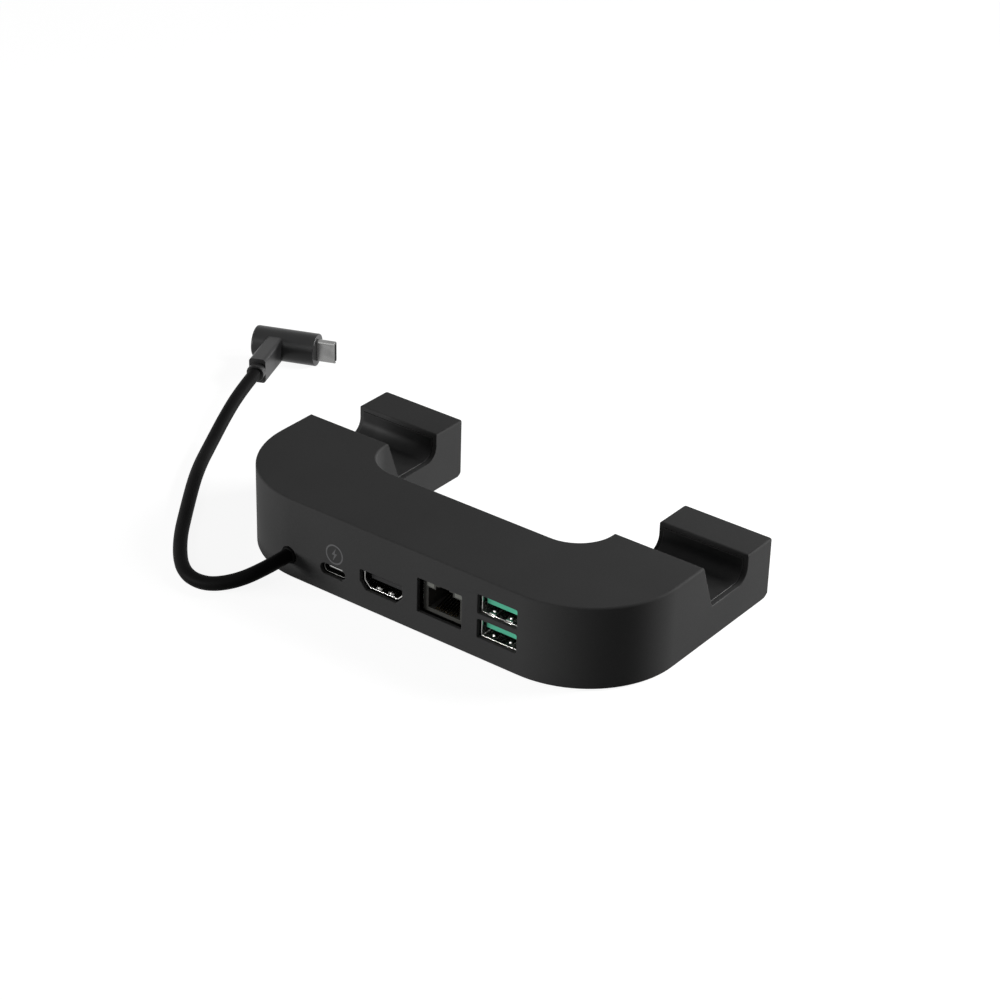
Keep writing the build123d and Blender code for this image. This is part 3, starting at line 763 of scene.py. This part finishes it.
def chargingPads():
    look = padLook
    low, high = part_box("usb_c_tongue")
    place = Matrix.Translation(((low.x + high.x) / 2,
                                low.y + look["setback"] + look["length"] / 2,
                                (low.z + high.z) / 2)) @ Matrix.Rotation(math.pi / 2, 4, "X")
    rowsPiece("charging_pads", "contacts", {
        "Count": look["count"],
        "Pitch": look["pitch"],
        "Row Gap": high.z - low.z,
        "Width": look["width"],
        "Length": 2 * look["proud"],
        "Height": look["length"],
    }, place, finish=dullGold)


chipLegs = {"pitch": 0.0005, "width": 0.00022, "reach": 0.0003, "thickness": 0.0002}
transformerLegs = {"pitch": 0.00127, "width": 0.0004, "reach": 0.0011, "thickness": 0.00025}


def legRows(nodeName, look, count, fourSides):
    # leads along two or four sides of a soldered part, standing on the board
    low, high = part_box(nodeName)
    middle = (low + high) / 2
    alongX = Matrix.Translation((middle.x, middle.y, low.z + look["thickness"] / 2))
    alongY = alongX @ Matrix.Rotation(math.pi / 2, 4, "Z")
    rowsPiece(nodeName + "_leads", "steel", {
        "Count": count,
        "Pitch": look["pitch"],
        "Row Gap": high.y - low.y if fourSides else high.x - low.x,
        "Width": look["width"],
        "Length": 2 * look["reach"],
        "Height": look["thickness"],
    }, *((alongX, alongY) if fourSides else (alongY,)))


chargingPads()
legRows("hub_controller", chipLegs, count=16, fourSides=True)
legRows("video_converter", chipLegs, count=14, fourSides=True)
legRows("network_controller", chipLegs, count=10, fourSides=True)
legRows("network_transformer", transformerLegs, count=9, fourSides=False)
print("leads and pads laid")


# Studio: a pale floor and four soft lights, two of them low, before the left corner and behind the
# right one, one near the right cradle and a weak one in front

studioLook = {
    "floorSize": 6.0,
    "floorDrop": 0.0001,     # below the feet
    "floorColour": 0.3,
    "floorGlow": 0.9,        # added only where the camera or a reflection looks
    "worldStrength": 0.055,
}
lampLooks = {    # the azimuth is in degrees round from the ports
    "leftSoftbox": {"azimuth": -42, "distance": 1.5, "height": 0.08,
                    "wide": 0.75, "tall": 0.5, "watts": 32},
    "rightSoftbox": {"azimuth": 151, "distance": 1.5, "height": 0.06,
                     "wide": 0.35, "tall": 0.34, "watts": 45},
    "nearSoftbox": {"azimuth": 137, "distance": 0.315, "height": 0.25,
                    "wide": 0.2, "tall": 0.12, "watts": 1.15},
    "frontSoftbox": {"azimuth": 5, "distance": 1.3, "height": 0.85,
                     "wide": 0.5, "tall": 0.5, "watts": 2.2},
}


def raysThatLook(tree):
    # 1 for camera, glossy and transmission rays
    path = tree.add("ShaderNodeLightPath")
    camera, glossy, transmission = (
        Amount(tree, path.outputs[name])
        for name in ("Is Camera Ray", "Is Glossy Ray", "Is Transmission Ray"))
    return (camera + glossy + transmission).clipped(0, 1)


def makeFloor():
    finish = Finish("paleFloor")
    looks = raysThatLook(finish)
    matt = finish.add("ShaderNodeBsdfDiffuse", {}, {"Color": grey(studioLook["floorColour"])})
    glow = finish.add("ShaderNodeEmission", {}, {
        "Color": grey(1.0), "Strength": looks * studioLook["floorGlow"]})
    both = finish.add("ShaderNodeAddShader", {}, {0: matt.outputs[0], 1: glow.outputs[0]})
    finish.add("ShaderNodeOutputMaterial", {}, {"Surface": both.outputs[0]})
    half = studioLook["floorSize"] / 2
    mesh = bpy.data.meshes.new("studioFloor")
    mesh.from_pydata([(-half, -half, 0), (half, -half, 0), (half, half, 0), (-half, half, 0)],
                     [], [(0, 1, 2, 3)])
    mesh.materials.append(finish.material)
    floor = bpy.data.objects.new("studioFloor", mesh)
    floor.location.z = -studioLook["floorDrop"]
    scene.collection.objects.link(floor)


class Sky(Tree):    # the world
    def __init__(self, name):
        self.world = bpy.data.worlds.new(name)
        self.world.use_nodes = True
        super().__init__(self.world.node_tree)


def makeWorld():
    sky = Sky("paleRoom")
    looks = raysThatLook(sky)
    base = studioLook["worldStrength"]
    light = sky.add("ShaderNodeBackground", {}, {
        "Color": grey(1.0), "Strength": looks * (1 - base) + base})
    sky.add("ShaderNodeOutputWorld", {}, {"Surface": light.outputs[0]})
    scene.world = sky.world


def makeLamp(name, look):
    data = bpy.data.lights.new(name, "AREA")
    data.shape = "RECTANGLE"
    data.size = look["wide"]
    data.size_y = look["tall"]
    data.energy = look["watts"]
    turn = math.radians(look["azimuth"])
    reach = look["distance"]
    place = Vector((math.sin(turn) * reach, -math.cos(turn) * reach, look["height"]))
    aim = (-place).to_track_quat("-Z", "Y")
    lamp = bpy.data.objects.new(name, data)
    lamp.matrix_world = Matrix.Translation(place) @ aim.to_matrix().to_4x4()
    lamp.visible_camera = False
    scene.collection.objects.link(lamp)


makeFloor()
makeWorld()
for lampName, lampLook in lampLooks.items():
    makeLamp(lampName, lampLook)
scene.view_settings.view_transform = "Standard"
print("studio set")
